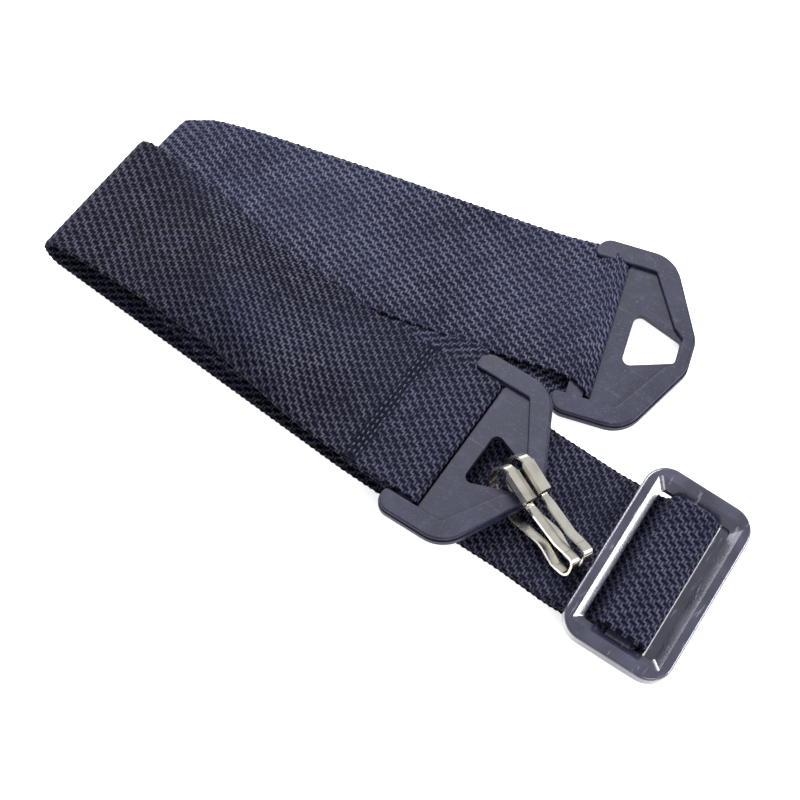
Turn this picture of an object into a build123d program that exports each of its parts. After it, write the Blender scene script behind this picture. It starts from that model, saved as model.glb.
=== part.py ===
from build123d import *
from math import cos, radians, sin
import os

# A black 50 mm webbing carrying strap, folded once and lying flat on its side:
# two straps, two identical moulded end plates, one adjusting slider and two
# spring snap hooks. Millimetres, +Z up, +X along the straight end of the strap
# towards the slider, origin below the middle of the whole bundle.

# ---- driving dimensions -------------------------------------------------------
WEB_WIDTH = 50.0
WEB_THICK = 1.5
HALF_WEB = WEB_THICK / 2
GAP = 0.4  # air between two layers that lie on each other

# Heights of the middle of each layer, from the table up.
Z_RUN_LOW = HALF_WEB
Z_FIX_LOW = Z_RUN_LOW + WEB_THICK + GAP
Z_THIRD = Z_FIX_LOW + WEB_THICK + GAP

# Where the straps lie.
STRAP_Y = -33.0  # the straight end runs along X at this Y
BEND_X = 6.0  # left of here the folded straps turn a little
FOLD_TURN = -4.2  # direction of the folded straps left of BEND_X, degrees
INNER_TURN = -13.3  # direction in which the fixed strap leaves its fold
UPPER_TURN = 13.3  # direction of the fixed strap's upper run
UPPER_POINT = (20.0, 30.7)  # a point on the middle of that run

# End plates. Local axes: t runs from the webbing's fold to the nose, w across.
PLATE_HALF = 33.4
PLATE_NOSE = 28.7
PLATE_THICK = 4.0
PANEL_THICK = 2.6
STEP_HEIGHT = 2.1  # the side wall steps in above this height
STEP_IN = 0.45
RIM_ROUND = 0.55
ARM_BACK = -12.2
ARM_INNER = 25.6
BAR_FRONT = -2.0
BAR_BACK = -7.6
BAR_THICK = 2.8
PANEL_BACK = 0.35
SHOULDER_T = 14.6
NOSE_HALF = 6.2
BAR_MID = (BAR_FRONT + BAR_BACK) / 2

PLATE_A = (45.6, 31.4, 2.1)
PLATE_A_TURN = 17.0
PLATE_A_DIP = 3.0  # nose down to the table, degrees
PLATE_B = (29.5, STRAP_Y, 9.4)

# Slider.
SLIDER_MID = (105.4, STRAP_Y - 1.0, 7.9)
SLIDER_TURN = 3.0
SLIDER_DIP = 10.0  # its far side lies lower, degrees
SLIDER_LONG = 67.0
SLIDER_WIDE = 39.0
SLIDER_THICK = 4.5
SLIDER_ROUND = 8.5
OPEN_LONG = 52.0
OPEN_WIDE = 26.0
BEVEL_WIDE = 3.0
BEVEL_DEEP = 1.9
OUTER_ROUND = 1.0
CENTRE_BAR_WIDE = 9.0
CENTRE_BAR_THICK = 2.4

# Snap hooks. Local axes: u along the hook, v up in its own plane.
STRIP_THICK = 0.8
STRIP_WIDE = 3.5
TIP_WIDE = 4.5
TONGUE_TIP_WIDE = 2.6
TONGUE_ROOT = (28.9, 1.2)
FLANGE_THICK = 0.55
FLANGE_DEEP = 2.2
HOOK_ROLL = 27.0
NEAR_HOOK = (51.6, -36.35, 15.9, -21.0, 3.5)
FAR_HOOK = (53.6, -30.6, 15.9, -22.5, 3.5)

os.makedirs("parts", exist_ok=True)


def run_plane(x, y, turn):
    """Upright plane along a strap: local X along it, local Y up."""
    a = radians(turn)
    return Plane(origin=(x, y, 0), x_dir=(cos(a), sin(a), 0), z_dir=(sin(a), -cos(a), 0))


def tilted_plane(origin, turn, dip):
    """Plane whose local X points along turn and dips below the level."""
    a, d = radians(turn), radians(dip)
    x_dir = (cos(a) * cos(d), sin(a) * cos(d), -sin(d))
    z_dir = (cos(a) * sin(d), sin(a) * sin(d), cos(d))
    return Plane(origin=origin, x_dir=x_dir, z_dir=z_dir)


def side_points(points, shift):
    """The corners of a bent line moved sideways by shift, to its left if positive."""
    runs = [(Vector(*q) - Vector(*p)).normalized() for p, q in zip(points, points[1:])]
    lefts = [Vector(-run.Y, run.X) for run in runs]
    moved = []
    for i, point in enumerate(points):
        before, after = lefts[max(i - 1, 0)], lefts[min(i, len(lefts) - 1)]
        moved.append(Vector(*point) + (before + after) * (shift / (1 + before.dot(after))))
    return moved


def side_radii(points, radii, shift):
    """Corner radii of the line that side_points gives."""
    corners = zip(points, points[1:], points[2:], radii)
    turns = [(Vector(*q) - Vector(*p)).cross(Vector(*r) - Vector(*q)).Z for p, q, r, _ in corners]
    return [radius - shift if turn > 0 else radius + shift for radius, turn in zip(radii, turns)]


def bent_strip(plane, points, radii, thick):
    """Side view of a strip that follows a bent line, as a sketch."""
    with BuildSketch(plane) as profile:
        with BuildLine():
            half = thick / 2
            if radii:
                left = FilletPolyline(*side_points(points, half), radius=side_radii(points, radii, half))
                right = FilletPolyline(*side_points(points, -half), radius=side_radii(points, radii, -half))
            else:
                left = Line(*side_points(points, half))
                right = Line(*side_points(points, -half))
            Line(left @ 0, right @ 0)
            Line(left @ 1, right @ 1)
        make_face()
    return profile.sketch


def strap(plane, points, radii=()):
    """One run of webbing, WEB_WIDTH wide, added to the part in hand."""
    extrude(bent_strip(plane, points, radii, WEB_THICK), amount=WEB_WIDTH / 2, both=True)


def ribbon_outline(points):
    """Closed outline of a ribbon whose middle passes through points."""
    upper = [(x, z + HALF_WEB) for x, z in points]
    lower = [(x, z - HALF_WEB) for x, z in reversed(points)]
    return upper + lower


def slider_point(p, q):
    """Place in slide_plane of a point given along (p) and above (q) the slider's own plane."""
    d = radians(SLIDER_DIP)
    return (p * cos(d) + q * sin(d), SLIDER_MID[2] - p * sin(d) + q * cos(d))


fold_plane = run_plane(BEND_X, STRAP_Y, FOLD_TURN)
end_plane = run_plane(0, STRAP_Y, 0)
a_plane = tilted_plane(PLATE_A, PLATE_A_TURN, PLATE_A_DIP)
b_plane = tilted_plane(PLATE_B, 0, 0)
slide_plane = run_plane(SLIDER_MID[0], SLIDER_MID[1], SLIDER_TURN)
slider_plane = tilted_plane(SLIDER_MID, SLIDER_TURN, SLIDER_DIP)

# ---- running strap: plate B, outer fold, slider, free end ----------------------
FOLD_END = -131.0  # outermost point of the outer fold, along the fold plane
FOLD_TOP = 13.2
FOLD_RADIUS = (FOLD_TOP - Z_RUN_LOW) / 2 - 0.05
SEAM_TOP = 10.4
SEAM_LOW = SEAM_TOP - WEB_THICK + 0.1  # sewn layers are pressed into each other a little
LOOP_AIR = 0.5  # round a plate's rear bar
LOOP_TOP = PLATE_B[2] + BAR_THICK + LOOP_AIR + HALF_WEB
LOOP_LOW = PLATE_B[2] - LOOP_AIR - HALF_WEB
LOOP_FRONT = PLATE_B[0] - HALF_WEB
LOOP_ROUND = 1.6
# Height of the top layer's middle along its near and its far edge.
ARCH_NEAR = [
    (0, SEAM_TOP),
    (-9, SEAM_TOP),
    (-25, 14),
    (-40, 18),
    (-56, 24),
    (-68, 25.2),
    (-77, 23.5),
    (-91, 16.5),
    (-104, FOLD_TOP),
    (-118, FOLD_TOP),
]
ARCH_FAR = [
    (0, SEAM_TOP),
    (-9, SEAM_TOP),
    (-25, 9.6),
    (-40, 8.6),
    (-56, 8.2),
    (-68, 8.6),
    (-77, 9.4),
    (-91, 11.2),
    (-104, FOLD_TOP),
    (-118, FOLD_TOP),
]
TAIL_END = 22.0
TURN_X = 66.0  # both straps turn to the slider's direction here
TURN_BACK = TURN_X - 1.5 - SLIDER_MID[0]
WRAP_P = CENTRE_BAR_WIDE / 2 + 3.6
WRAP_Q = CENTRE_BAR_THICK / 2 + 3.6
Z_TAIL = Z_THIRD
Z_TAIL_SLIDER = 6.1

with BuildPart() as running_webbing:
    # Top layer, arched clear of the layers under it near its near edge.
    with BuildSketch(fold_plane.offset(WEB_WIDTH / 2)):
        with BuildLine():
            Polyline(*ribbon_outline(ARCH_NEAR), close=True)
        make_face()
    with BuildSketch(fold_plane.offset(-WEB_WIDTH / 2)):
        with BuildLine():
            Polyline(*ribbon_outline(ARCH_FAR), close=True)
        make_face()
    loft(ruled=True)
    # Outer fold and the lowest layer.
    strap(
        fold_plane,
        [
            (-110, FOLD_TOP),
            (FOLD_END + HALF_WEB, FOLD_TOP),
            (FOLD_END + HALF_WEB, Z_RUN_LOW),
            (2, Z_RUN_LOW),
        ],
        [FOLD_RADIUS, FOLD_RADIUS],
    )
    # Loop round the rear bar of plate B, then its end, sewn under.
    strap(
        end_plane,
        [
            (BEND_X - 2, SEAM_TOP),
            (BEND_X + 3, SEAM_TOP),
            (PLATE_B[0] - 11, LOOP_TOP),
            (LOOP_FRONT, LOOP_TOP),
            (LOOP_FRONT, LOOP_LOW),
            (PLATE_B[0] - 10, LOOP_LOW),
        ],
        [4, 4, LOOP_ROUND, LOOP_ROUND],
    )
    strap(
        end_plane,
        [
            (PLATE_B[0] - 9.5, LOOP_LOW),
            (PLATE_B[0] - 14, LOOP_LOW),
            (BEND_X + 3, SEAM_LOW),
            (BEND_X - 7, SEAM_LOW),
        ],
        [4, 4],
    )
    # Lowest layer on to the slider, up its far slot, over the centre bar, down
    # its near slot and back on top as the free end.
    strap(end_plane, [(BEND_X - 2, Z_RUN_LOW), (TURN_X, Z_RUN_LOW)])
    strap(
        slide_plane,
        [
            (TURN_BACK, Z_RUN_LOW),
            (slider_point(WRAP_P, 0)[0] - 0.6, Z_RUN_LOW),
            slider_point(WRAP_P, WRAP_Q),
            slider_point(-WRAP_P, WRAP_Q),
            (slider_point(-WRAP_P, 0)[0] - 1.5, Z_TAIL_SLIDER),
            (-26, Z_TAIL_SLIDER),
            (-32, Z_TAIL),
            (TURN_BACK, Z_TAIL),
        ],
        [3, 2.6, 4, 4, 4, 4],
    )
    strap(end_plane, [(TAIL_END, Z_TAIL), (TURN_X, Z_TAIL)])
running_webbing.part.label = "running_webbing"

# ---- fixed strap: plate A, inner fold, slider ----------------------------------
INNER_X = -119.4
INNER_Y = -12.0
INNER_TOP = 8.6
INNER_ROUND = (INNER_TOP - Z_FIX_LOW) / 2 - 0.05
upper_plane = run_plane(UPPER_POINT[0], UPPER_POINT[1], UPPER_TURN)
inner_plane = run_plane(INNER_X, INNER_Y, 0)
leave_plane = run_plane(INNER_X, INNER_Y, INNER_TURN)
loop_plane = run_plane(PLATE_A[0], PLATE_A[1], PLATE_A_TURN)
A_TOP = PLATE_A[2] + BAR_THICK + 0.9 + HALF_WEB
A_SEAM_TOP = HALF_WEB + 1.4
HUG_P = CENTRE_BAR_WIDE / 2 + 1.5
HUG_Q = CENTRE_BAR_THICK / 2 + 1.5
SLIDER_SEAM_TOP = Z_FIX_LOW + WEB_THICK - 0.1

with BuildPart() as fixed_webbing:
    # Upper run, from the inner fold down to the table.
    strap(
        upper_plane,
        [
            (-138, INNER_TOP),
            (-122, INNER_TOP),
            (-88, Z_THIRD),
            (-45, Z_THIRD),
            (-32, A_SEAM_TOP),
            (0, A_SEAM_TOP),
        ],
        [20, 20, 8, 8],
    )
    # Inner fold.
    strap(
        inner_plane,
        [(16, INNER_TOP), (HALF_WEB, INNER_TOP), (HALF_WEB, Z_FIX_LOW), (16, Z_FIX_LOW)],
        [INNER_ROUND, INNER_ROUND],
    )
    # Lower layer, in two directions as far as the bend.
    strap(leave_plane, [(8, Z_FIX_LOW), (62, Z_FIX_LOW)])
    strap(fold_plane, [(-69, Z_FIX_LOW), (2, Z_FIX_LOW)])
    # Lower layer on to the slider and round its centre bar, then its sewn end.
    strap(end_plane, [(BEND_X - 2, Z_FIX_LOW), (TURN_X, Z_FIX_LOW)])
    strap(
        slide_plane,
        [
            (TURN_BACK, Z_FIX_LOW),
            (-11, Z_FIX_LOW),
            slider_point(-HUG_P + 4, -HUG_Q),
            slider_point(HUG_P, -HUG_Q),
            slider_point(HUG_P, HUG_Q),
            slider_point(-HUG_P, HUG_Q),
            slider_point(-HUG_P, 0),
        ],
        [4, 4, 1.5, 1.5, 1.5],
    )
    strap(
        slide_plane,
        [
            slider_point(-HUG_P, 0.5),
            slider_point(-HUG_P, -1.2),
            (slider_point(-HUG_P, 0)[0] - 5, SLIDER_SEAM_TOP),
            (-25, SLIDER_SEAM_TOP),
        ],
        [1.0, 2.0],
    )
    # Loop round the rear bar of plate A, then its end, sewn under.
    strap(
        loop_plane,
        [
            (-30, A_SEAM_TOP),
            (-21, A_SEAM_TOP),
            (-10.5, A_TOP),
            (-HALF_WEB, A_TOP),
            (-HALF_WEB, HALF_WEB),
            (-8, HALF_WEB),
        ],
        [6, 4, LOOP_ROUND, LOOP_ROUND],
    )
    strap(loop_plane, [(-7.5, HALF_WEB), (-30, HALF_WEB)])
fixed_webbing.part.label = "fixed_webbing"

# ---- end plates ------------------------------------------------------------------


def plate_shape(plane, inset):
    """The plate's outline with its two arms, drawn in by inset."""
    with BuildSketch(plane) as shape:
        with BuildLine():
            Polyline(
                (ARM_BACK, ARM_INNER),
                (ARM_BACK, PLATE_HALF),
                (SHOULDER_T, PLATE_HALF),
                (PLATE_NOSE, NOSE_HALF),
                (PLATE_NOSE, -NOSE_HALF),
                (SHOULDER_T, -PLATE_HALF),
                (ARM_BACK, -PLATE_HALF),
                (ARM_BACK, -ARM_INNER),
                (PANEL_BACK, -ARM_INNER),
                (PANEL_BACK, ARM_INNER),
                close=True,
            )
        make_face()
        fillet(vertices().filter_by(lambda v: v.X < ARM_BACK + 1 and abs(v.Y) > PLATE_HALF - 1), radius=5.2)
        fillet(vertices().filter_by(lambda v: v.X < ARM_BACK + 1 and abs(v.Y) < ARM_INNER + 1), radius=2.0)
        fillet(vertices().filter_by(lambda v: abs(v.X - SHOULDER_T) < 1), radius=12.0)
        fillet(vertices().filter_by(lambda v: v.X > PLATE_NOSE - 1), radius=8.0)
        if inset:
            offset(amount=-inset, kind=Kind.INTERSECTION, mode=Mode.REPLACE)
    return shape.sketch


def end_plate(plane, name):
    with BuildPart() as plate:
        extrude(plate_shape(plane, 0), amount=STEP_HEIGHT)
        extrude(plate_shape(plane.offset(STEP_HEIGHT), STEP_IN), amount=PLATE_THICK - STEP_HEIGHT)
        # Rear bar that the webbing is sewn round.
        with BuildSketch(plane):
            with Locations((BAR_MID, 0)):
                Rectangle(BAR_FRONT - BAR_BACK, 2 * ARM_INNER + 2)
        extrude(amount=BAR_THICK)
        # Sunk panel inside the rim.
        with BuildSketch(plane.offset(PANEL_THICK)):
            with BuildLine():
                Polyline(
                    (PANEL_BACK - 1, ARM_INNER + STEP_IN),
                    (9.5, ARM_INNER + STEP_IN),
                    (20.6, 7.6),
                    (24.2, 4.6),
                    (24.2, -4.6),
                    (20.6, -7.6),
                    (9.5, -ARM_INNER - STEP_IN),
                    (PANEL_BACK - 1, -ARM_INNER - STEP_IN),
                    close=True,
                )
            make_face()
            fillet(vertices().filter_by(lambda v: 5 < v.X < 23), radius=1.5)
        extrude(amount=PLATE_THICK, mode=Mode.SUBTRACT)
        # Eye.
        with BuildSketch(plane):
            with BuildLine():
                Polyline((6.9, 10.6), (23.8, 4.2), (23.8, -4.2), (6.9, -10.6), close=True)
            make_face()
            fillet(vertices().group_by(Axis.X)[0], radius=2.4)
            fillet(vertices().group_by(Axis.X)[-1], radius=1.5)
        extrude(amount=PLATE_THICK, mode=Mode.SUBTRACT)
        # Softened edges of the rim and of the eye.
        upward = faces().sort_by(Axis(plane.origin, plane.z_dir))
        fillet(upward[-1].edges(), radius=RIM_ROUND)
    plate.part.label = name
    return plate


end_plate_a = end_plate(a_plane, "end_plate_a")
end_plate_b = end_plate(b_plane, "end_plate_b")

# ---- slider -----------------------------------------------------------------------
HALF_THICK = SLIDER_THICK / 2
LEDGE_WIDE = 3.3
LEDGE_THICK = 1.6

with BuildPart() as slider_frame:
    with BuildSketch(slider_plane.offset(-HALF_THICK)):
        RectangleRounded(SLIDER_WIDE, SLIDER_LONG, SLIDER_ROUND)
    extrude(amount=SLIDER_THICK)
    with BuildSketch(slider_plane.offset(-HALF_THICK)):
        RectangleRounded(OPEN_WIDE, OPEN_LONG, 1.5)
    extrude(amount=SLIDER_THICK, mode=Mode.SUBTRACT)
    # Wide bevel round the top of the opening.
    with BuildSketch(slider_plane.offset(HALF_THICK - BEVEL_DEEP)):
        RectangleRounded(OPEN_WIDE, OPEN_LONG, 1.5)
    with BuildSketch(slider_plane.offset(HALF_THICK)):
        RectangleRounded(OPEN_WIDE + 2 * BEVEL_WIDE, OPEN_LONG + 2 * BEVEL_WIDE, 1.5)
    loft(mode=Mode.SUBTRACT)
    # Centre bar, and a ledge inside the far side bar.
    with BuildSketch(slider_plane.offset(-CENTRE_BAR_THICK / 2)):
        Rectangle(CENTRE_BAR_WIDE, OPEN_LONG + 2)
    extrude(amount=CENTRE_BAR_THICK)
    with BuildSketch(slider_plane.offset(-HALF_THICK)):
        with Locations((OPEN_WIDE / 2, 0)):
            Rectangle(2 * LEDGE_WIDE, OPEN_LONG + 2)
    extrude(amount=LEDGE_THICK)
    top_and_bottom = faces().sort_by(Axis((0, 0, 0), slider_plane.z_dir))
    fillet(top_and_bottom[-1].outer_wire().edges(), radius=OUTER_ROUND)
slider_frame.part.label = "slider_frame"

# ---- snap hooks ---------------------------------------------------------------------


def hook_plane(x, y, z, turn, dip):
    """Plane of a hook's bent strip: local X along it, local Y up, rolled over."""
    level = tilted_plane((x, y, z), turn, dip)
    along = level.x_dir
    up = level.z_dir.rotate(Axis((0, 0, 0), along), -HOOK_ROLL)
    return Plane(origin=(x, y, z), x_dir=along, z_dir=along.cross(up))


TIP = (8.4, 2.2)
HOOK_LINE = [
    TIP,
    (-7.4, 3.7),
    (-7.4, -9.8),
    (8.5, -9.3),
    (20.5, -5.5),
    (28.0, -6.9),
    (34.6, -5.0),
    (33.2, 2.1),
    (29.0, 1.2),
]
HOOK_RADII = [5.4, 5.9, 8, 8, 3.2, 3.2, 2.4]
TONGUE_LINE = [(0, 0.2), (24.5, 0.1), TONGUE_ROOT]
CHANNEL = [(-2.6, 3.24), TIP]
FLANGE = [(-2.6, 3.3), TIP, (TIP[0], TIP[1] - FLANGE_DEEP), (-1.8, 3.2 - FLANGE_DEEP)]


def snap_hook(place, name):
    """One hook: its bent strip with the flanged tip, and its springing tongue."""
    plane = hook_plane(*place)
    with BuildPart() as hook:
        extrude(bent_strip(plane, HOOK_LINE, HOOK_RADII, STRIP_THICK), amount=STRIP_WIDE / 2, both=True)
        # The hook's tip is wider, with side flanges that straddle the tongue.
        extrude(bent_strip(plane, CHANNEL, (), STRIP_THICK), amount=TIP_WIDE / 2, both=True)
        for side in (-1, 1):
            with BuildSketch(plane.offset(side * (TIP_WIDE - FLANGE_THICK) / 2)):
                with BuildLine():
                    Polyline(*FLANGE, close=True)
                make_face()
            extrude(amount=FLANGE_THICK / 2, both=True)
    hook.part.label = name
    with BuildPart() as tongue:
        extrude(bent_strip(plane, TONGUE_LINE, (8.0,), STRIP_THICK), amount=STRIP_WIDE / 2, both=True)
        # The tongue narrows towards its free end, to pass between the flanges.
        flat = Plane(origin=plane.origin, x_dir=plane.x_dir, z_dir=plane.y_dir)
        for side in (-1, 1):
            with BuildSketch(flat.offset(-5)):
                with BuildLine():
                    Polyline(
                        (-1, side * TONGUE_TIP_WIDE / 2),
                        (10, side * TONGUE_TIP_WIDE / 2),
                        (13, side * STRIP_WIDE / 2),
                        (13, side * STRIP_WIDE),
                        (-1, side * STRIP_WIDE),
                        close=True,
                    )
                make_face()
            extrude(amount=10, mode=Mode.SUBTRACT)
    tongue.part.label = name + "_spring"
    return hook, tongue


near_hook, near_spring = snap_hook(NEAR_HOOK, "snap_hook_near")
far_hook, far_spring = snap_hook(FAR_HOOK, "snap_hook_far")

# ---- seams ----------------------------------------------------------------------------
STITCH_LONG = 2.4
STITCH_WIDE = 0.7
STITCH_HIGH = 0.4
STITCH_PITCH = 3.4
STITCHES = 14
ROW_GAP = 4.0


def seam(plane, name):
    """Two rows of lock stitches across the webbing, on its upper face."""
    with BuildPart() as stitches:
        with BuildSketch(plane):
            with GridLocations(ROW_GAP, STITCH_PITCH, 2, STITCHES):
                SlotOverall(STITCH_LONG, STITCH_WIDE, rotation=90)
        extrude(amount=STITCH_HIGH)
    stitches.part.label = name
    return stitches


plate_b_seam = seam(Plane(origin=(BEND_X - 3.4, STRAP_Y, SEAM_TOP + HALF_WEB)), "plate_b_seam")
plate_a_seam = seam(
    Plane(
        origin=loop_plane.origin + loop_plane.x_dir * -26 + Vector(0, 0, A_SEAM_TOP + HALF_WEB),
        x_dir=loop_plane.x_dir,
        z_dir=(0, 0, 1),
    ),
    "plate_a_seam",
)
slider_seam = seam(
    Plane(
        origin=slide_plane.origin + slide_plane.x_dir * -19 + Vector(0, 0, SLIDER_SEAM_TOP + HALF_WEB),
        x_dir=slide_plane.x_dir,
        z_dir=(0, 0, 1),
    ),
    "slider_seam",
)

pieces = [
    running_webbing,
    fixed_webbing,
    end_plate_a,
    end_plate_b,
    slider_frame,
    near_hook,
    near_spring,
    far_hook,
    far_spring,
    plate_a_seam,
    plate_b_seam,
    slider_seam,
]
# The bundle's middle goes to the origin, its underside stays on Z = 0.
middle = Compound([piece.part for piece in pieces]).bounding_box().center()
for piece in pieces:
    placed = piece.part.moved(Location((-middle.X, -middle.Y, 0)))
    placed.label = piece.part.label
    export_step(placed, f"parts/{placed.label}.step")
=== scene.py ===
from math import cos, pi, radians, sin, sqrt, tan

import bpy
import numpy as np
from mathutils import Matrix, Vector


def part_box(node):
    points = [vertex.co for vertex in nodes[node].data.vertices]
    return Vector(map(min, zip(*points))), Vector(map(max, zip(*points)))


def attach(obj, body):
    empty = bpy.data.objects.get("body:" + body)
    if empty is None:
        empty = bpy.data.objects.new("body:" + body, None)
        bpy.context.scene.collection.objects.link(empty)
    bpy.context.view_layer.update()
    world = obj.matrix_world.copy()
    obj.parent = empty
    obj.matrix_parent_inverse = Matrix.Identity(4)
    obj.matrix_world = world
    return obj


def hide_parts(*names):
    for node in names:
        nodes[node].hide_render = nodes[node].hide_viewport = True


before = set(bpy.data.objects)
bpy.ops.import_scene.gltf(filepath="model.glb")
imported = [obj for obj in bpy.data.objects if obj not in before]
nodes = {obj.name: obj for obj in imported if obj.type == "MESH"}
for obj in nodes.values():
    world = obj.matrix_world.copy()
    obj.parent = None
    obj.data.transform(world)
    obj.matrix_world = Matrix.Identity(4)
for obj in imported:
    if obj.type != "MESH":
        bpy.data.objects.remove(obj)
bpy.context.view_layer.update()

# A black 50 mm webbing carrying strap, folded and lying on a pale table.
# The straps' sizes and stations are in millimetres; meshes, camera, floor and lamps are in metres.
MM = 0.001
WEB_WIDTH = 50.0
WEB_THICK = 1.5
HALF_WIDTH = WEB_WIDTH / 2

# ---- camera -----------------------------------------------------------------------------
LOOK_AT = Vector((1.23, -25.02, 0.0)) * MM
VIEW_TURN = radians(34)
VIEW_RISE = radians(65)
VIEW_DISTANCE = 1.0
SENSOR_WIDTH = 36.0
FOCAL_LENGTH = 136.35
FAR_CLIP = 20


def make_camera():
    data = bpy.data.cameras.new("camera")
    data.sensor_width = SENSOR_WIDTH
    data.lens = FOCAL_LENGTH
    data.clip_end = FAR_CLIP
    camera = bpy.data.objects.new("camera", data)
    bpy.context.scene.collection.objects.link(camera)
    level = cos(VIEW_RISE)
    back = Vector((sin(VIEW_TURN) * level, -cos(VIEW_TURN) * level, sin(VIEW_RISE)))
    camera.location = LOOK_AT + back * VIEW_DISTANCE
    camera.rotation_euler = back.to_track_quat("Z", "Y").to_euler()
    bpy.context.scene.camera = camera


make_camera()


# ---- material helpers ---------------------------------------------------------------------
def rgb(r, g, b):
    return (r, g, b, 1.0)


def shade(colour, share):
    """A colour made darker or lighter, its alpha kept."""
    return tuple(share * c for c in colour[:3]) + (1.0,)


class Graph:
    """Short calls for building a material's nodes."""

    def __init__(self, tree):
        self.tree = tree

    def put(self, socket, value):
        if isinstance(value, bpy.types.NodeSocket):
            self.tree.links.new(value, socket)
        else:
            socket.default_value = value

    def math(self, operation, *values, clamp=False):
        node = self.tree.nodes.new("ShaderNodeMath")
        node.operation = operation
        node.use_clamp = clamp
        for socket, value in zip(node.inputs, values):
            self.put(socket, value)
        return node.outputs[0]

    def times(self, value, factor, clamp=False):
        return self.math("MULTIPLY", value, factor, clamp=clamp)

    def plus(self, value, more):
        return self.math("ADD", value, more)

    def minus(self, value, less, clamp=False):
        return self.math("SUBTRACT", value, less, clamp=clamp)

    def highest(self, value, other):
        return self.math("MAXIMUM", value, other)

    def noise(self, vector, scale, detail=3.0, roughness=0.55):
        node = self.tree.nodes.new("ShaderNodeTexNoise")
        self.put(node.inputs["Vector"], vector)
        node.inputs["Scale"].default_value = scale
        node.inputs["Detail"].default_value = detail
        node.inputs["Roughness"].default_value = roughness
        return node.outputs["Fac"]

    def mix(self, factor, low, high):
        node = self.tree.nodes.new("ShaderNodeMix")
        node.data_type = "RGBA"
        self.put(node.inputs[0], factor)
        self.put(node.inputs[6], low)
        self.put(node.inputs[7], high)
        return node.outputs[2]

    def spread(self, value, low, high, to_low=0.0, to_high=1.0):
        """Value mapped from low...high to to_low...to_high, and clamped there."""
        node = self.tree.nodes.new("ShaderNodeMapRange")
        node.clamp = True
        self.put(node.inputs[0], value)
        for socket, number in zip(node.inputs[1:5], (low, high, to_low, to_high)):
            self.put(socket, number)
        return node.outputs[0]

    def bump(self, height, strength, distance):
        node = self.tree.nodes.new("ShaderNodeBump")
        node.inputs["Strength"].default_value = strength
        node.inputs["Distance"].default_value = distance
        self.put(node.inputs["Height"], height)
        return node.outputs["Normal"]

    def place(self):
        return self.tree.nodes.new("ShaderNodeTexCoord").outputs["Object"]

    def stretched(self, vector, scale):
        node = self.tree.nodes.new("ShaderNodeMapping")
        self.put(node.inputs["Vector"], vector)
        node.inputs["Scale"].default_value = scale
        return node.outputs[0]


def new_material(name):
    material = bpy.data.materials.new(name)
    material.use_nodes = True
    shader = material.node_tree.nodes["Principled BSDF"]
    return material, shader, Graph(material.node_tree)


# ---- a strap's line -----------------------------------------------------------------------
WEAVE_LONG = 4.2  # one full repeat of the weave along the strap
WEAVE_WIDE = 3.125  # and across it
STEP_LONG = WEAVE_LONG / 4
STEP_WIDE = WEAVE_WIDE / 4
FINE_STEPS = 5  # fine steps in one mesh row, while the line is smoothed
LINE_REACH = 3  # fine steps over which the line is smoothed
TILT_REACH = 30  # and its turn and roll
ARC_STEPS = 12
LONGEST_REACH = 0.49  # share of a run that one rounded corner may take
STRAIGHT = 0.01  # radians by which half a corner's angle may miss a straight line


def rounded(stations):
    """Dense path through stations (x, y, z, turn, roll, radius), each corner rounded to its radius."""
    radii = [station[5] for station in stations]
    stations = [np.array(station[:5], float) + SHIFT for station in stations]
    path = [stations[0]]
    for before, corner, after, radius in zip(stations, stations[1:], stations[2:], radii[1:]):
        back = before[:3] - corner[:3]
        on = after[:3] - corner[:3]
        back_long, on_long = np.linalg.norm(back), np.linalg.norm(on)
        back, on = back / back_long, on / on_long
        half = np.arccos(np.clip(back @ on, -1, 1)) / 2
        if half > pi / 2 - STRAIGHT:
            path.append(corner)
            continue
        reach = min(radius / tan(half), LONGEST_REACH * back_long, LONGEST_REACH * on_long)
        radius = reach * tan(half)
        middle = (back + on) / np.linalg.norm(back + on)
        centre = corner[:3] + middle * radius / sin(half)
        first = corner[:3] + back * reach - centre
        last = corner[:3] + on * reach - centre
        low = corner[3:] + (before[3:] - corner[3:]) * reach / back_long
        high = corner[3:] + (after[3:] - corner[3:]) * reach / on_long
        sweep = pi - 2 * half
        for k in range(ARC_STEPS + 1):
            share = k / ARC_STEPS
            point = (first * sin((1 - share) * sweep) + last * sin(share * sweep)) / sin(sweep)
            path.append(np.concatenate([centre + point, low + (high - low) * share]))
    path.append(stations[-1])
    return np.array(path)


def evenly(path, step):
    """The path again, with a point every step along it."""
    long = np.concatenate([[0], np.cumsum(np.linalg.norm(np.diff(path[:, :3], axis=0), axis=1))])
    count = int(round(long[-1] / step)) + 1
    at = np.linspace(0, long[-1], count)
    return np.array([np.interp(at, long, column) for column in path.T]).T


def softened(values, reach):
    """Values smoothed along the path over about reach samples, their ends kept."""
    kernel = np.exp(-0.5 * (np.arange(-3 * reach, 3 * reach + 1) / reach) ** 2)
    kernel /= kernel.sum()
    wide = np.pad(values, ((3 * reach, 3 * reach), (0, 0)), mode="reflect", reflect_type="odd")
    return np.array([np.convolve(column, kernel, mode="valid") for column in wide.T]).T


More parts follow.
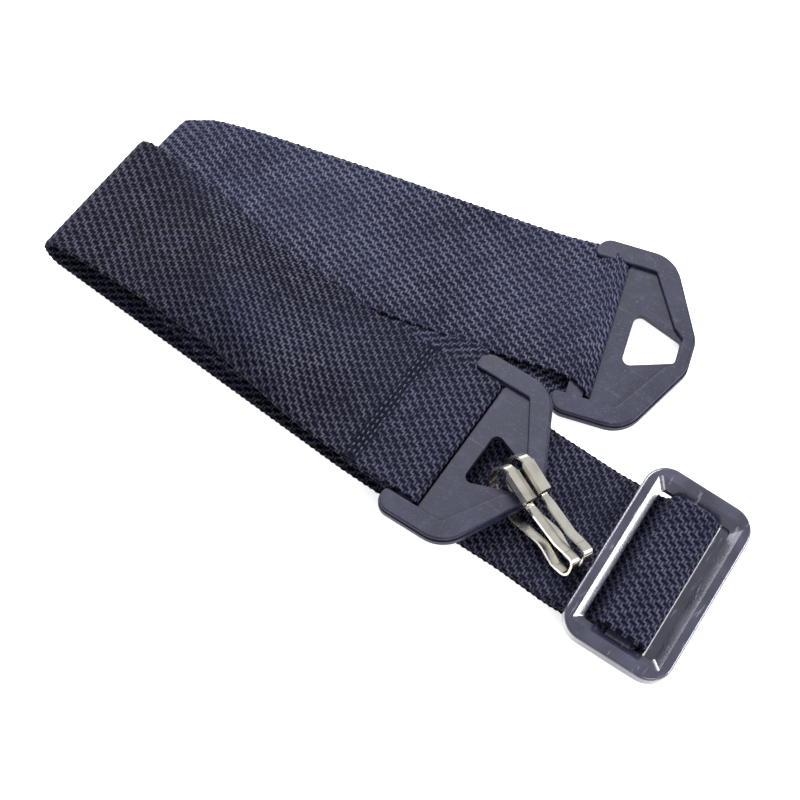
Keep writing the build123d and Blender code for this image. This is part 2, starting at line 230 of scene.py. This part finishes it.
def strap_path(stations, crown):
    """The rows of a strap: s is their place along it, beside their centres and three directions.
    crown(centre, v) gives how far each point is raised from the flat cross-section."""
    fine = evenly(rounded(stations), STEP_LONG / FINE_STEPS)
    fine[:, :3] = softened(fine[:, :3], LINE_REACH)
    fine[:, 3:] = softened(fine[:, 3:], TILT_REACH)
    rows = evenly(fine, STEP_LONG)
    centre = rows[:, :3]
    turn, roll = np.radians(rows[:, 3]), np.radians(rows[:, 4])
    across = np.stack([-np.sin(turn) * np.cos(roll), np.cos(turn) * np.cos(roll), np.sin(roll)], 1)
    along = np.gradient(centre, axis=0)
    along /= np.linalg.norm(along, axis=1)[:, None]
    up = np.cross(along, across)
    up /= np.linalg.norm(up, axis=1)[:, None]
    s = np.arange(len(rows)) * STEP_LONG
    return {"s": s, "centre": centre, "along": along, "across": across, "up": up, "crown": crown}


# ---- a strap's mesh -----------------------------------------------------------------------
RELIEF = 0.11  # how far the weave's knots stand out of each face
RELIEF_ROOM = 0.12  # what each face gives up for them
SELVEDGE = 1.2  # the strap thins this near to its edge
EDGE_THICK, FULL_GAIN = 0.55, 0.45  # share of the thickness at the edge, and what is gained inside
SERRATION = 0.16
SMALLEST_SHARE = 0.5
HALVINGS = 14


def new_piece(name, points, faces):
    """A smooth-shaded mesh object, its points in metres."""
    mesh = bpy.data.meshes.new(name)
    mesh.from_pydata(points, [], faces)
    mesh.polygons.foreach_set("use_smooth", [True] * len(mesh.polygons))
    piece = bpy.data.objects.new(name, mesh)
    bpy.context.scene.collection.objects.link(piece)
    return piece


def width_share(rise):
    """Share of its flat width that each row spans, so that its arch is as long as the strap is wide."""
    low = np.full(len(rise), SMALLEST_SHARE)
    high = np.full(len(rise), 1.0)
    for _ in range(HALVINGS):
        share = (low + high) / 2
        arch = np.sqrt((share[:, None] * STEP_WIDE) ** 2 + np.diff(rise, axis=1) ** 2).sum(1)
        low = np.where(arch < WEB_WIDTH, share, low)
        high = np.where(arch < WEB_WIDTH, high, share)
    return high


def slab_faces(rows, columns):
    """Faces of a closed slab: all of its upper points, row by row, come before its lower ones."""
    over = np.arange(rows * columns).reshape(rows, columns)
    under = over + rows * columns
    return [
        np.stack([over[:-1, :-1], over[1:, :-1], over[1:, 1:], over[:-1, 1:]], -1).reshape(-1, 4),
        np.stack([under[:-1, :-1], under[:-1, 1:], under[1:, 1:], under[1:, :-1]], -1).reshape(-1, 4),
        np.stack([over[:-1, 0], under[:-1, 0], under[1:, 0], over[1:, 0]], -1),
        np.stack([over[:-1, -1], over[1:, -1], under[1:, -1], under[:-1, -1]], -1),
        np.stack([over[0, :-1], over[0, 1:], under[0, 1:], under[0, :-1]], -1),
        np.stack([over[-1, :-1], under[-1, :-1], under[-1, 1:], over[-1, 1:]], -1),
    ]


def ribbon(name, path):
    """A woven strap along path: a closed mesh with relief, and a UV map of the flat strap in metres."""
    columns = int(round(WEB_WIDTH / STEP_WIDE))
    v = (np.arange(columns + 1) - columns / 2) * STEP_WIDE
    grid_s, grid_v = np.meshgrid(path["s"], v, indexing="ij")
    weave = np.cos(2 * pi * grid_s / WEAVE_LONG) * np.cos(2 * pi * grid_v / WEAVE_WIDE)
    inside = np.clip((HALF_WIDTH - np.abs(grid_v)) / SELVEDGE, 0, 1)
    half = (WEB_THICK / 2 - RELIEF_ROOM) * (EDGE_THICK + FULL_GAIN * np.sqrt(inside))
    teeth = SERRATION * np.cos(4 * pi * grid_s / WEAVE_LONG) * (inside == 0) * np.sign(grid_v)
    rise = path["crown"](path["centre"], grid_v)
    sideways = (grid_v + teeth) * width_share(rise)[:, None]
    middle = path["centre"][:, None, :] + path["across"][:, None, :] * sideways[:, :, None]
    middle[:, :, 2] += rise
    up = path["up"][:, None, :]
    over = middle + up * (half + RELIEF * weave)[:, :, None]
    under = middle - up * (half - RELIEF * weave)[:, :, None]
    points = np.concatenate([over.reshape(-1, 3), under.reshape(-1, 3)]) * MM
    piece = new_piece(name, points.tolist(), np.concatenate(slab_faces(*grid_s.shape)).tolist())
    mesh = piece.data
    flat = np.tile(np.stack([grid_s.ravel(), grid_v.ravel()], 1), (2, 1))
    corners = np.empty(len(mesh.loops), int)
    mesh.loops.foreach_get("vertex_index", corners)
    mesh.uv_layers.new(name="strap").data.foreach_set("uv", (flat[corners] * MM).ravel())
    return piece


# ---- where the straps run -----------------------------------------------------------------
# Stations are (x, y, z, turn, roll, radius): a point on the strap's middle line in part.py's
# own millimetres, the strap's direction and tilt there in degrees, and the corner's radius.
# In those millimetres plate B begins at PLATE_B_X and lies along STRAP_Y. SHIFT takes them to
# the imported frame, by where that has plate B.
PLATE_B_X = 17.3
STRAP_Y = -33.0
plate_low, plate_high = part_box("end_plate_b")
SHIFT = np.array([plate_low.x / MM - PLATE_B_X, (plate_low.y + plate_high.y) / 2 / MM - STRAP_Y, 0, 0, 0])
END = 0  # radius at a strap's ends, which have no corner

TABLE_Z = 0.75  # middle of the layer that lies on the table
SECOND_Z = 2.75  # middle of the layer on it
TUCKED_Z = 4.55  # middle of the free end, on both
SKEW = -4.2
SKEW_END = 6.0
SKEW_SLOPE = tan(radians(SKEW))

SLIDER_X, SLIDER_Y, SLIDER_Z = 105.4, -34.0, 7.9
SLIDER_TURN = 3.0
SLIDER_SLOPE = tan(radians(SLIDER_TURN))
SLIDER_DIP = radians(10.0)


def low_y(x):
    """Middle line of the lower layers, skewed on the left of SKEW_END."""
    return STRAP_Y + min(x - SKEW_END, 0) * SKEW_SLOPE


def slide_station(x, z, radius):
    """A station on the strap's line through the slider, x along it from the slider's middle."""
    return (SLIDER_X + x, SLIDER_Y + x * SLIDER_SLOPE, z, SLIDER_TURN, 0, radius)


def slider_station(p, q, radius):
    """A station p along and q above the slider's own plane, which dips towards positive X."""
    x = p * cos(SLIDER_DIP) + q * sin(SLIDER_DIP)
    return slide_station(x, SLIDER_Z - p * sin(SLIDER_DIP) + q * cos(SLIDER_DIP), radius)


running_stations = [
    # sewn end under the seam, forward under plate B's rear bar
    (-1, STRAP_Y, 10.4, 0, -1, END),
    (10, STRAP_Y, 10.1, 0, 0, 12),
    (18, STRAP_Y, 8.4, 0, 0, 12),
    (28.6, STRAP_Y, 8.15, 0, 0, 2.2),
    # round the bar and back on top
    (28.6, STRAP_Y, 13.4, 0, 0, 2.2),
    (18, STRAP_Y, 13.3, 0, 0, 12),
    (10, STRAP_Y, 12.6, 0, -0.5, 20),
    (3, STRAP_Y, 12.1, -0.5, -1.5, 40),
    (-6, -32.9, 12.2, -1.5, -3, 40),
    (-20, -32.4, 12.3, -3, -6.5, 60),
    (-38, -30.0, 11.9, -4, -8.0, 60),
    (-55, -28.1, 12.2, SKEW, -9.9, 60),
    (-66, -27.6, 13.2, SKEW, -10.5, 60),
    (-77, -26.2, 13.6, SKEW, -9.5, 60),
    (-88, -25.2, 13.9, SKEW, -7.2, 60),
    (-101, -23.2, 12.4, SKEW, -1, 60),
    (-112, -23.2, 12.8, SKEW, 0, 60),
    # outer fold, and back along the table
    (-125.6, -23.4, 12.4, SKEW, 0, 5.6),
    (-125.6, -23.4, TABLE_Z, SKEW, 0, 5.6),
    (-110, low_y(-110), TABLE_Z, SKEW, 0, 60),
    (-60, low_y(-60), TABLE_Z, SKEW, 0, 60),
    (0, low_y(0), TABLE_Z, SKEW, 0, 80),
    (14, STRAP_Y, TABLE_Z, 0, 0, 80),
    (60, -33.5, TABLE_Z, 0, 0, 80),
    (80, -35, TABLE_Z, 2, 0, 60),
    # under the slider, over its centre bar, and back as the free end
    slide_station(8.1 * cos(SLIDER_DIP) - 0.3, TABLE_Z, 3),
    slider_station(8.4, 4.8, 2.6),
    slider_station(-8.1, 4.8, 3.5),
    slide_station(-8.1 * cos(SLIDER_DIP) - 1.5, 6.1, 4),
    slide_station(-26, 6.1, 4),
    (72, -34.6, TUCKED_Z, 1.5, 0, 4),
    (22, STRAP_Y, TUCKED_Z, 0, 0, END),
]

fixed_stations = [
    # sewn end under plate A's loop, forward under its bar
    (10.3, 17.0, TABLE_Z, 22, 0, END),
    (36, 27.5, TABLE_Z, 20, 0, 40),
    (46.1, 31.55, TABLE_Z, 17, 0, 1.6),
    # round the bar, and back towards the inner fold
    (45.12, 31.25, 6.3, 17, 0, 1.6),
    (40.8, 33.4, 6.1, 16, 0, 6),
    (32.4, 33.6, 4.6, 14, 0, 12),
    (20, 30.7, 2.6, 13.3, 0, 30),
    (8, 27.9, 2.5, 13.3, 0, 40),
    (-45, 15.3, 4.6, 13.3, 0, 80),
    (-88, 5.1, 5.5, 12.5, -2, 80),
    (-107, 0.2, 8.0, 8, -7, 30),
    # inner fold, and back between the running strap's layers
    (-119, -5.0, 7.6, 1, -11, 2.6),
    (-119.4, -10.0, SECOND_Z, -6, 0, 2.6),
    (-105, -14.0, SECOND_Z, -12, 0, 40),
    (-85, -20.0, SECOND_Z, -12, 0, 40),
    (-66, low_y(-66) + 2, SECOND_Z, -6, 0, 60),
    (-40, low_y(-40) + 5, SECOND_Z, -3, 0, 60),
    (-6, low_y(-6) + 10, SECOND_Z, -3, 0, 60),
    (19, -19.5, SECOND_Z, -8, 0, 60),
    (42, STRAP_Y, SECOND_Z, -5, 0, 60),
    (62, -33.6, SECOND_Z, 0, 0, 60),
    (80, -35, SECOND_Z, 2, 0, 10),
    # sewn loop round the slider's centre bar
    slide_station(-13, 4.6, 4),
    slider_station(-6, -2.7, 1.6),
    slider_station(6, -2.7, 1.6),
    slider_station(6, 2.7, 1.6),
    slider_station(-6, 2.7, 1.2),
    slider_station(-6, -1, 1.2),
    slide_station(-14, 4.75, 4),
    slide_station(-25, 4.3, END),
]

# The running strap's top layer arches over a ridge that crosses it slantwise. For each X:
# the ridge's place across the strap, and how far the arch rises there.
RIDGE = (
    (-118, 25, 0),
    (-113, 23, 1.0),
    (-91, 12, 4.6),
    (-72, 2, 7.4),
    (-57.5, -10, 9.0),
    (-31, -19, 3.5),
    (-12, -24, 0),
)
TOP_LAYER_Z = 9  # over the ridge's length, only the top layer lies above this
ARCH_POWER = 1.6
FAR_EDGE = HALF_WIDTH + 0.01  # just past the edge, where the arch's slope stays finite

# The far corner of the fixed strap's inner fold sags by DROOP at most. The sag grows leftwards
# from DROOP_X over DROOP_LONG, and upwards from DROOP_Z over DROOP_TALL.
DROOP = 2.0
DROOP_X, DROOP_LONG = -86.0, 32.0
DROOP_Z, DROOP_TALL = 4.5, 2.0
SAG_ALONG, SAG_ACROSS = 1.3, 2.5  # powers by which it grows


def arch_crown(centre, v):
    """How far the running strap's top layer rises at v across the strap."""
    x = centre[:, 0] - SHIFT[0]
    ridge_x, ridge_v, ridge_lift = zip(*RIDGE)
    ridge = np.interp(x, ridge_x, ridge_v)[:, None]
    lift = np.interp(x, ridge_x, ridge_lift)[:, None]
    near = np.clip((v + HALF_WIDTH) / (ridge + FAR_EDGE), 0, 1)
    far = np.clip((HALF_WIDTH - v) / (FAR_EDGE - ridge), 0, 1)
    hump = np.where(v < ridge, near, far)
    on_top = (centre[:, 2] > TOP_LAYER_Z)[:, None]
    return on_top * lift * (1 - (1 - hump) ** ARCH_POWER)


def corner_droop(centre, v):
    """How far the fixed strap sags, negative down."""
    near_fold = np.clip((DROOP_X - (centre[:, 0] - SHIFT[0])) / DROOP_LONG, 0, 1)[:, None]
    on_top = np.clip((centre[:, 2] - DROOP_Z) / DROOP_TALL, 0, 1)[:, None]
    return -DROOP * on_top * near_fold**SAG_ALONG * np.clip(v / HALF_WIDTH, 0, 1) ** SAG_ACROSS


running_path = strap_path(running_stations, arch_crown)
fixed_path = strap_path(fixed_stations, corner_droop)
running = ribbon("webbing_running", running_path)
fixed = ribbon("webbing_fixed", fixed_path)


# ---- seams --------------------------------------------------------------------------------
STITCH_PITCH = 2.6
STITCHES = 18
STITCH_ROWS = (-1.5, 0.0, 1.5)  # places along the strap, from the seam's middle
ROW_STAGGER = 0.25  # share of the pitch by which the middle row is moved
STITCH_HALF = 0.95
THREAD_RADIUS = 0.3
THREAD_DIP = 0.28  # how far a stitch's ends are pulled in
THREAD_SINK = 0.02
END_GIRTH = 0.12  # square of a stitch's relative girth at its ends
STITCH_RINGS, RING_SIDES = 5, 6


def row_near(path, x, low, high):
    """Row of the path nearest to X, in part.py's millimetres, of those with a height of low...high."""
    off = np.abs(path["centre"][:, 0] - SHIFT[0] - x)
    off[(path["centre"][:, 2] < low) | (path["centre"][:, 2] > high)] = np.inf
    return int(np.argmin(off))


def stitch_points(middle, across, along, up):
    """Rings of one short thread bit that lies across the strap, its ends pulled in."""
    points = []
    for ring in range(STITCH_RINGS):
        t = ring / (STITCH_RINGS - 1) * 2 - 1
        girth = THREAD_RADIUS * sqrt(max(1 - t * t, END_GIRTH))
        centre = middle + across * t * STITCH_HALF - up * THREAD_DIP * t * t
        for side in range(RING_SIDES):
            turn = 2 * pi * side / RING_SIDES
            points.append(centre + along * girth * cos(turn) + up * girth * sin(turn))
    return points


def stitch_faces(first):
    """Faces of one thread bit whose points begin at first, its two ends closed."""
    faces = []
    for ring in range(STITCH_RINGS - 1):
        for side in range(RING_SIDES):
            a = first + ring * RING_SIDES + side
            b = first + ring * RING_SIDES + (side + 1) % RING_SIDES
            faces.append((a, b, b + RING_SIDES, a + RING_SIDES))
    last = first + (STITCH_RINGS - 1) * RING_SIDES
    faces.append(tuple(first + side for side in reversed(range(RING_SIDES))))
    faces.append(tuple(last + side for side in range(RING_SIDES)))
    return faces


def seam(name, path, row, node):
    """Rows of stitches in the strap's upper face, across it, in place of the CAD's seam."""
    points, faces = [], []
    along, across, up = path["along"][row], path["across"][row], path["up"][row]
    if up[2] <= 0:
        up = -up
    for line, shift in enumerate(STITCH_ROWS):
        for k in range(STITCHES):
            v = (k - (STITCHES - 1) / 2 + ROW_STAGGER * (line % 2)) * STITCH_PITCH
            middle = path["centre"][row] + along * shift + across * v
            middle[2] += path["crown"](path["centre"][row : row + 1], np.array([[v]]))[0, 0]
            middle = middle + up * (WEB_THICK / 2 - THREAD_SINK)
            faces += stitch_faces(len(points))
            points += stitch_points(middle, across, along, up)
    piece = new_piece(name, [tuple(point * MM) for point in points], faces)
    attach(piece, "webbing")
    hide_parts(node)
    return piece


seam_b = row_near(running_path, 3.0, 11.2, 14.0)
seam_a = row_near(fixed_path, 19.5, 2.0, 4.0)
seam_s = row_near(fixed_path, 84.0, 4.2, 5.4)
seams = [
    seam("seam_plate_b", running_path, seam_b, "plate_b_seam"),
    seam("seam_plate_a", fixed_path, seam_a, "plate_a_seam"),
    seam("seam_slider", fixed_path, seam_s, "slider_seam"),
]


# ---- webbing material ---------------------------------------------------------------------
STRAND_HALF = 0.5  # half the width of one strand of a pair, along the strap
PAIR_REACH = 1.3  # half the length of a pair, across the strap
LINK_REACH = 1.25  # half the length of a short strand, along the strap
LINK_HALF = 0.5
LINK_LEVELS = ((0.25, 1.0), (-0.25, 0.45))  # place in the repeat, and height
BAND_WOBBLE = 3.0  # how unevenly a seam's pressed band ends, and its soft edge
BAND_SOFT = 1.0


def weave_height(graph, u, v):
    """Height of the weave: pairs of strands across the strap, linked by short strands along it."""

    def centred(value, shift, period):
        turned = graph.math("FRACT", graph.plus(value, 0.5 - shift))
        return graph.times(graph.minus(turned, 0.5), period)

    def stroke(place, middle, half):
        away = graph.math("DIVIDE", graph.minus(place, middle), half)
        return graph.minus(1.0, graph.times(away, away), clamp=True)

    height = 0.0
    for shift in (0.0, 0.5):
        a = centred(u, shift, WEAVE_LONG)
        b = centred(v, shift, WEAVE_WIDE)
        pair = graph.highest(stroke(a, -STRAND_HALF, STRAND_HALF), stroke(a, STRAND_HALF, STRAND_HALF))
        height = graph.highest(height, graph.times(pair, stroke(b, 0.0, PAIR_REACH)))
        for side, level in LINK_LEVELS:
            a = centred(u, shift + side, WEAVE_LONG)
            b = centred(v, shift + 0.25, WEAVE_WIDE)
            link = graph.times(stroke(a, 0.0, LINK_REACH), stroke(b, 0.0, LINK_HALF))
            height = graph.highest(height, graph.times(link, level))
    return height


def pressed_flat(graph, along, wobble, bands):
    """How flat the weave is pressed by seams: bands of (place along, half width, strength)."""
    pressed = 0.0
    for place, half, strength in bands:
        away = graph.math("ABSOLUTE", graph.minus(along, place))
        away = graph.minus(away, graph.times(wobble, BAND_WOBBLE))
        band = graph.spread(away, half - BAND_SOFT, half + BAND_SOFT, strength, 0.0)
        pressed = graph.highest(pressed, band)
    return pressed


def webbing_material(name, light, dark, gap_shade, bands):
    """Woven strap: knots with a painted highlight, the colour light, on dark strands, with painted shade in
    the gaps between them.
    """
    material, shader, graph = new_material(name)
    uv = graph.tree.nodes.new("ShaderNodeUVMap")
    uv.uv_map = "strap"
    flat = graph.tree.nodes.new("ShaderNodeSeparateXYZ")
    graph.put(flat.inputs[0], uv.outputs[0])
    along = graph.times(flat.outputs[0], 1 / MM)
    across = graph.times(flat.outputs[1], 1 / MM)
    wobble = graph.minus(graph.noise(graph.place(), 160, 2.0), 0.5)
    u = graph.plus(graph.math("DIVIDE", along, WEAVE_LONG), graph.times(wobble, 0.4))
    v = graph.plus(graph.math("DIVIDE", across, WEAVE_WIDE), graph.times(wobble, 0.35))
    knots = weave_height(graph, u, v)
    fibre = graph.noise(graph.place(), 2600, 2.0)
    patch = graph.noise(graph.place(), 45, 3.0)
    uneven = graph.noise(graph.place(), 420, 2.0)
    lit = graph.times(knots, graph.spread(patch, 0.3, 0.7, 0.78, 1.12))
    lit = graph.times(lit, graph.spread(uneven, 0.3, 0.7, 0.62, 1.2))
    lit = graph.times(lit, graph.spread(fibre, 0.3, 0.7, 0.8, 1.15), clamp=True)
    lit = graph.times(lit, graph.minus(1.0, pressed_flat(graph, along, wobble, bands)))
    # The gaps between the knots get painted shade, lighter in random patches where the weave looks filled
    # and darker where it looks open; the strands' dark colour is varied with it.
    gap_shade_patch = graph.noise(graph.stretched(graph.place(), (14, 24, 20)), 1.0, 2.0)
    gap_shade_patch = graph.spread(gap_shade_patch, 0.38, 0.62)
    filled = graph.mix(gap_shade_patch, shade(dark, 0.6), shade(dark, 1.7))
    # The colour passed as hole is painted shade in the weave's gaps.
    shaded_gap = graph.mix(gap_shade_patch, gap_shade, shade(dark, 0.45))
    colour = graph.mix(graph.spread(lit, 0.0, 0.45), shaded_gap, filled)
    # The knots' crests take the colour light, a painted highlight; only the knots' pattern is the weave's
    # own.
    crest_highlight = graph.math("POWER", graph.spread(lit, 0.25, 0.95), 1.25)
    graph.put(shader.inputs["Base Color"], graph.mix(crest_highlight, colour, light))
    graph.put(shader.inputs["Roughness"], graph.spread(fibre, 0.2, 0.8, 0.5, 0.72))
    shader.inputs["Specular IOR Level"].default_value = 0.05
    height = graph.plus(knots, graph.times(fibre, 0.12))
    graph.put(shader.inputs["Normal"], graph.bump(height, 0.9, 0.0004))
    return material


# Both straps are the same black webbing: the running strap's colours are a darker copy, painted shade, and
# the fixed strap's a lighter copy, painted light. In both, the knots' colour is a painted highlight and the
# gaps' colour is painted shade.
running_webbing = webbing_material(
    "webbing_running",
    light=rgb(0.056, 0.058, 0.083),
    dark=rgb(0.0046, 0.0052, 0.014),
    gap_shade=rgb(0.0004, 0.0005, 0.002),
    bands=[(running_path["s"][seam_b], 2.4, 0.6)],
)
fixed_webbing = webbing_material(
    "webbing_fixed",
    light=rgb(0.08, 0.084, 0.123),
    dark=rgb(0.0135, 0.0145, 0.031),
    gap_shade=rgb(0.0022, 0.0026, 0.007),
    bands=[(fixed_path["s"][seam_a], 1.8, 0.3), (fixed_path["s"][seam_s], 2.0, 0.4)],
)
for piece, path, material, node, slot in (
    (running, running_path, running_webbing, "running_webbing", "webbing_running"),
    (fixed, fixed_path, fixed_webbing, "fixed_webbing", "webbing_fixed"),
):
    piece.data.materials.append(material)
    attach(piece, "webbing")
    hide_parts(node)


# ---- materials of the plates, slider, hooks and thread ------------------------------------
def moulded_material():
    """Matte black plastic with a fine grain, pale specks, rubbed patches and faint scratches."""
    material, shader, graph = new_material("moulding")
    place = graph.place()
    grain = graph.noise(place, 3200, 2.0)
    cloud = graph.noise(place, 60, 4.0)
    scratch = graph.noise(graph.stretched(place, (60, 900, 60)), 1.0, 3.0)
    scratched = graph.spread(scratch, 0.62, 0.7)
    specks = graph.spread(graph.noise(place, 1500, 1.0), 0.64, 0.74)
    rubbed = graph.spread(graph.noise(place, 240, 5.0, 0.7), 0.52, 0.7)
    dark, mid = rgb(0.0065, 0.007, 0.019), rgb(0.0165, 0.0175, 0.036)
    colour = graph.mix(graph.spread(cloud, 0.3, 0.7), dark, mid)
    colour = graph.mix(graph.times(specks, 0.32), colour, rgb(0.1, 0.105, 0.135))
    colour = graph.mix(graph.times(rubbed, 0.22), colour, rgb(0.06, 0.062, 0.09))
    colour = graph.mix(graph.times(scratched, 0.18), colour, rgb(0.09, 0.092, 0.12))
    graph.put(shader.inputs["Base Color"], colour)
    graph.put(shader.inputs["Roughness"], graph.spread(cloud, 0.2, 0.8, 0.38, 0.52))
    shader.inputs["Specular IOR Level"].default_value = 0.22
    height = graph.plus(graph.times(grain, 0.6), graph.times(scratch, 0.4))
    graph.put(shader.inputs["Normal"], graph.bump(height, 0.35, 0.00012))
    return material


def slider_material():
    """Glossy black plastic with pale scuffs."""
    material, shader, graph = new_material("slider_plastic")
    place = graph.place()
    grain = graph.noise(place, 1400, 3.0)
    cloud = graph.noise(place, 90, 4.0)
    scuff = graph.noise(graph.stretched(place, (700, 120, 700)), 1.0, 3.0)
    scuff = graph.spread(scuff, 0.62, 0.7)
    dark, mid = rgb(0.009, 0.009, 0.02), rgb(0.024, 0.024, 0.046)
    colour = graph.mix(graph.spread(cloud, 0.3, 0.7), dark, mid)
    colour = graph.mix(graph.times(scuff, 0.35), colour, rgb(0.25, 0.25, 0.27))
    graph.put(shader.inputs["Base Color"], colour)
    graph.put(shader.inputs["Roughness"], graph.spread(cloud, 0.25, 0.75, 0.22, 0.38))
    shader.inputs["Coat Weight"].default_value = 1.0
    shader.inputs["Coat Roughness"].default_value = 0.12
    height = graph.plus(grain, graph.times(scuff, 0.4))
    graph.put(shader.inputs["Normal"], graph.bump(height, 0.3, 0.00015))
    return material


def nickel_material():
    """Brushed nickel plate, darker and yellower in patches."""
    material, shader, graph = new_material("nickel")
    place = graph.place()
    brushed = graph.noise(graph.stretched(place, (250, 1800, 1800)), 1.0, 3.0)
    cloud = graph.noise(place, 130, 4.0)
    clean, dull = rgb(0.8, 0.765, 0.68), rgb(0.58, 0.54, 0.45)
    graph.put(shader.inputs["Base Color"], graph.mix(graph.spread(cloud, 0.3, 0.7), clean, dull))
    shader.inputs["Metallic"].default_value = 1.0
    graph.put(shader.inputs["Roughness"], graph.spread(brushed, 0.2, 0.8, 0.14, 0.24))
    graph.put(shader.inputs["Normal"], graph.bump(brushed, 0.04, 0.00003))
    return material


def thread_material():
    """Black twisted thread."""
    material, shader, graph = new_material("thread")
    twist = graph.noise(graph.place(), 2200, 2.0)
    colour = graph.mix(twist, rgb(0.006, 0.008, 0.018), rgb(0.04, 0.046, 0.075))
    graph.put(shader.inputs["Base Color"], colour)
    shader.inputs["Roughness"].default_value = 0.6
    graph.put(shader.inputs["Normal"], graph.bump(twist, 0.5, 0.0002))
    return material


def wear(material, *names):
    """Gives CAD nodes their material."""
    for name in names:
        slots = nodes[name].data.materials
        slots.clear()
        slots.append(material)


wear(moulded_material(), "end_plate_a", "end_plate_b")
wear(slider_material(), "slider_frame")
wear(nickel_material(), *(f"snap_hook_{side}{part}" for side in ("near", "far") for part in ("", "_spring")))
thread = thread_material()
for piece in seams:
    piece.data.materials.append(thread)

# ---- floor and light ----------------------------------------------------------------------
FLOOR_REACH = 2.5
FLOOR_GAP = 0.0002
WHITE = (1, 1, 1)
COOL = (0.93, 0.93, 1.0)
SKY = (0.93, 0.96, 1.0, 1)
SKY_STRENGTH = 0.75
LAMPS = (
    # name, place, size, watts, colour
    ("key", (-0.5, 0.75, 1.1), (0.7, 0.5), 26, WHITE),
    ("fill", (0.9, -0.5, 0.9), (0.5, 0.5), 6, WHITE),
    ("strip", (1.2, 0.45, 0.42), (0.7, 0.28), 20, COOL),
    ("left_strip", (-1.15, 0.5, 0.7), (0.6, 0.22), 12, COOL),
)


def floor_material():
    material, shader, _ = new_material("floor")
    shader.inputs["Base Color"].default_value = (0.8, 0.8, 0.8, 1)
    shader.inputs["Emission Color"].default_value = (1, 1, 1, 1)
    shader.inputs["Emission Strength"].default_value = 0.6
    shader.inputs["Roughness"].default_value = 0.9
    return material


def make_floor():
    r = FLOOR_REACH
    mesh = bpy.data.meshes.new("floor")
    mesh.from_pydata([(-r, -r, 0), (r, -r, 0), (r, r, 0), (-r, r, 0)], [], [(0, 1, 2, 3)])
    mesh.materials.append(floor_material())
    floor = bpy.data.objects.new("floor", mesh)
    bpy.context.scene.collection.objects.link(floor)
    floor.location.z = -FLOOR_GAP


def make_sky():
    world = bpy.data.worlds.new("studio")
    bpy.context.scene.world = world
    world.use_nodes = True
    background = world.node_tree.nodes["Background"]
    background.inputs["Color"].default_value = SKY
    background.inputs["Strength"].default_value = SKY_STRENGTH


def lamp(name, place, size, watts, colour):
    """A rectangular lamp that faces the strap."""
    data = bpy.data.lights.new(name, "AREA")
    data.shape = "RECTANGLE"
    data.size, data.size_y = size
    data.energy = watts
    data.color = colour
    light = bpy.data.objects.new(name, data)
    bpy.context.scene.collection.objects.link(light)
    light.location = place
    light.rotation_euler = (Vector(place) - LOOK_AT).to_track_quat("Z", "Y").to_euler()


make_floor()
make_sky()
for row in LAMPS:
    lamp(*row)
bpy.context.scene.view_settings.view_transform = "Standard"
